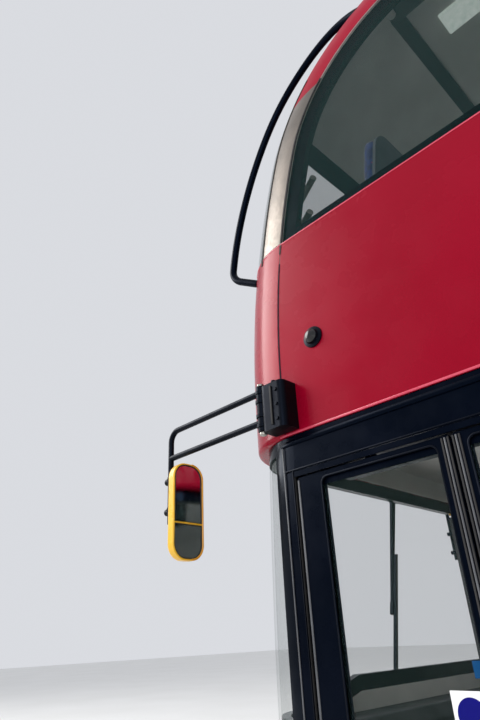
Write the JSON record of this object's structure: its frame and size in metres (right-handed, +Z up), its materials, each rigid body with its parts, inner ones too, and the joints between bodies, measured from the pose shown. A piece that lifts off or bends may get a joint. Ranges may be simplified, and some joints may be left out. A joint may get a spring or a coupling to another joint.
{
  "type": "double decker bus",
  "caption": "Red two-door double decker bus with steered front wheels, twin rear wheels, gliding doors, cab door and engine flap.",
  "frame": {"origin": "on the ground, under the middle of the box round the bus and its mirrors", "axes": "+X to the front of the bus, +Y to its nearside, +Z up"},
  "size_m": [10.84, 2.8, 4.3399],
  "materials": {
    "arm_metal": "black paint",
    "black_trim": "black satin trim",
    "cab_grey": "grained grey plastic",
    "cast_metal": "rough casting",
    "chassis_black": "chassis black",
    "door_leaf": "black door frame with a clear pane",
    "floor_cover": "speckled safety flooring",
    "lamp_lens": "clear and coloured lenses",
    "mirror_amber": "amber housing with mirror glass",
    "pole_yellow": "powder coated handrail",
    "red_paint": "gloss red coach paint",
    "seat_moquette": "blue patterned moquette",
    "sign_black": "blank black display",
    "silver_paint": "satin silver paint",
    "tinted_glass": "tinted glass",
    "tyre_rubber": "rubber",
    "wheel_silver": "silver wheel paint"
  },
  "bodies": {
    "bus_body": {"cab": "cab_grey", "cab_screen": "cab_grey", "camera_dome": "cab_grey", "chassis_frame": "chassis_black", "doorway_frames": "black_trim", "engine_block": "cast_metal", "front_axle": "chassis_black", "front_lower_panel": "red_paint", "front_pillars": "silver_paint", "lamps": "lamp_lens", "lower_floor": "floor_cover", "lower_seats": "seat_moquette", "lower_side_glass": "tinted_glass", "lower_windscreen": "tinted_glass", "mid_front_panel": "red_paint", "mid_side_panels": "red_paint", "mirror_arms": "arm_metal", "mirror_heads": "mirror_amber", "nearside_lower_panel": "red_paint", "offside_lower_panel": "red_paint", "poles_and_rails": "pole_yellow", "rear_axle": "chassis_black", "rear_lower_panel": "red_paint", "rear_upper_panel": "red_paint", "roof_panel": "red_paint", "screen_frames": "black_trim", "sign_screen": "sign_black", "stair": "floor_cover", "tow_lugs": "chassis_black", "tree_guard": "arm_metal", "upper_floor": "floor_cover", "upper_glass": "tinted_glass", "upper_seats": "seat_moquette", "upper_windscreen": "tinted_glass", "window_frames": "black_trim", "wiper_spindles": "black_trim"},
    "front_wheel_near": {"front_wheel_near_tyre": "tyre_rubber", "front_wheel_near_rim": "wheel_silver"},
    "front_wheel_off": {"front_wheel_off_tyre": "tyre_rubber", "front_wheel_off_rim": "wheel_silver"},
    "rear_wheel_near": {"rear_wheel_near_tyre": "tyre_rubber", "rear_wheel_near_rim": "wheel_silver"},
    "rear_wheel_off": {"rear_wheel_off_tyre": "tyre_rubber", "rear_wheel_off_rim": "wheel_silver"},
    "knuckle_near": {"knuckle_near": "cast_metal"},
    "knuckle_off": {"knuckle_off": "cast_metal"},
    "front_door_a_arm": {"front_door_a_arm": "arm_metal"},
    "front_door_a_leaf": {"front_door_a_leaf": "door_leaf"},
    "front_door_b_arm": {"front_door_b_arm": "arm_metal"},
    "front_door_b_leaf": {"front_door_b_leaf": "door_leaf"},
    "centre_door_a_arm": {"centre_door_a_arm": "arm_metal"},
    "centre_door_a_leaf": {"centre_door_a_leaf": "door_leaf"},
    "centre_door_b_arm": {"centre_door_b_arm": "arm_metal"},
    "centre_door_b_leaf": {"centre_door_b_leaf": "door_leaf"},
    "cab_door": {"cab_door": "cab_grey"},
    "engine_flap": {"engine_flap": "red_paint"},
    "wiper_near": {"wiper_near": "black_trim"},
    "wiper_off": {"wiper_off": "black_trim"}
  },
  "joints": [
    {"name": "steer_near", "type": "hinge", "parent": "bus_body", "child": "knuckle_near", "pos_m": [2.5, 0.96, 0.48], "axis": [0, 0, 1], "range_deg": [-35, 35]},
    {"name": "front_spin_near", "type": "hinge", "parent": "knuckle_near", "child": "front_wheel_near", "pos_m": [2.5, 1.11, 0.48], "axis": [0, 1, 0], "continuous": true},
    {"name": "rear_spin_near", "type": "hinge", "parent": "bus_body", "child": "rear_wheel_near", "pos_m": [-2.9, 1.11, 0.48], "axis": [0, 1, 0], "continuous": true},
    {"name": "steer_off", "type": "hinge", "parent": "bus_body", "child": "knuckle_off", "pos_m": [2.5, -0.96, 0.48], "axis": [0, 0, 1], "range_deg": [-35, 35]},
    {"name": "front_spin_off", "type": "hinge", "parent": "knuckle_off", "child": "front_wheel_off", "pos_m": [2.5, -1.11, 0.48], "axis": [0, 1, 0], "continuous": true},
    {"name": "rear_spin_off", "type": "hinge", "parent": "bus_body", "child": "rear_wheel_off", "pos_m": [-2.9, -1.11, 0.48], "axis": [0, 1, 0], "continuous": true},
    {"name": "front_door_a_swing", "type": "hinge", "parent": "bus_body", "child": "front_door_a_arm", "pos_m": [4.732, 1.206, 1], "axis": [0, 0, 1], "range_deg": [0, 88]},
    {"name": "front_door_a_turn", "type": "hinge", "parent": "front_door_a_arm", "child": "front_door_a_leaf", "pos_m": [4.409, 1.252, 1], "axis": [0, 0, 1], "range_deg": [-176, 0]},
    {"name": "front_door_b_swing", "type": "hinge", "parent": "bus_body", "child": "front_door_b_arm", "pos_m": [3.478, 1.206, 1], "axis": [0, 0, 1], "range_deg": [-88, 0]},
    {"name": "front_door_b_turn", "type": "hinge", "parent": "front_door_b_arm", "child": "front_door_b_leaf", "pos_m": [3.801, 1.252, 1], "axis": [0, 0, 1], "range_deg": [0, 176]},
    {"name": "centre_door_a_swing", "type": "hinge", "parent": "bus_body", "child": "centre_door_a_arm", "pos_m": [0.382, 1.206, 1], "axis": [0, 0, 1], "range_deg": [0, 88]},
    {"name": "centre_door_a_turn", "type": "hinge", "parent": "centre_door_a_arm", "child": "centre_door_a_leaf", "pos_m": [0.059, 1.252, 1], "axis": [0, 0, 1], "range_deg": [-176, 0]},
    {"name": "centre_door_b_swing", "type": "hinge", "parent": "bus_body", "child": "centre_door_b_arm", "pos_m": [-0.872, 1.206, 1], "axis": [0, 0, 1], "range_deg": [-88, 0]},
    {"name": "centre_door_b_turn", "type": "hinge", "parent": "centre_door_b_arm", "child": "centre_door_b_leaf", "pos_m": [-0.549, 1.252, 1], "axis": [0, 0, 1], "range_deg": [0, 176]},
    {"name": "cab_door_hinge", "type": "hinge", "parent": "bus_body", "child": "cab_door", "pos_m": [3.69, -0.14, 1.2], "axis": [0, 0, 1], "range_deg": [0, 90]},
    {"name": "engine_flap_hinge", "type": "hinge", "parent": "bus_body", "child": "engine_flap", "pos_m": [-5.412, 0, 1.314], "axis": [0, 1, 0], "range_deg": [0, 75]},
    {"name": "wiper_near_sweep", "type": "hinge", "parent": "bus_body", "child": "wiper_near", "pos_m": [5.04248, 0.04, 2.06933], "axis": [0.999, 0, 0.0443], "range_deg": [0, 62]},
    {"name": "wiper_off_sweep", "type": "hinge", "parent": "bus_body", "child": "wiper_off", "pos_m": [5.04248, -0.96, 2.06933], "axis": [0.999, 0, 0.0443], "range_deg": [0, 62]}
  ],
  "couplings": [
    {"joint": "steer_off", "follows": "steer_near", "ratio": 1},
    {"joint": "front_door_b_swing", "follows": "front_door_a_swing", "ratio": -1},
    {"joint": "front_door_a_turn", "follows": "front_door_a_swing", "ratio": -2},
    {"joint": "front_door_b_turn", "follows": "front_door_a_swing", "ratio": 2},
    {"joint": "centre_door_b_swing", "follows": "centre_door_a_swing", "ratio": -1},
    {"joint": "centre_door_a_turn", "follows": "centre_door_a_swing", "ratio": -2},
    {"joint": "centre_door_b_turn", "follows": "centre_door_a_swing", "ratio": 2},
    {"joint": "wiper_off_sweep", "follows": "wiper_near_sweep", "ratio": 1}
  ]
}
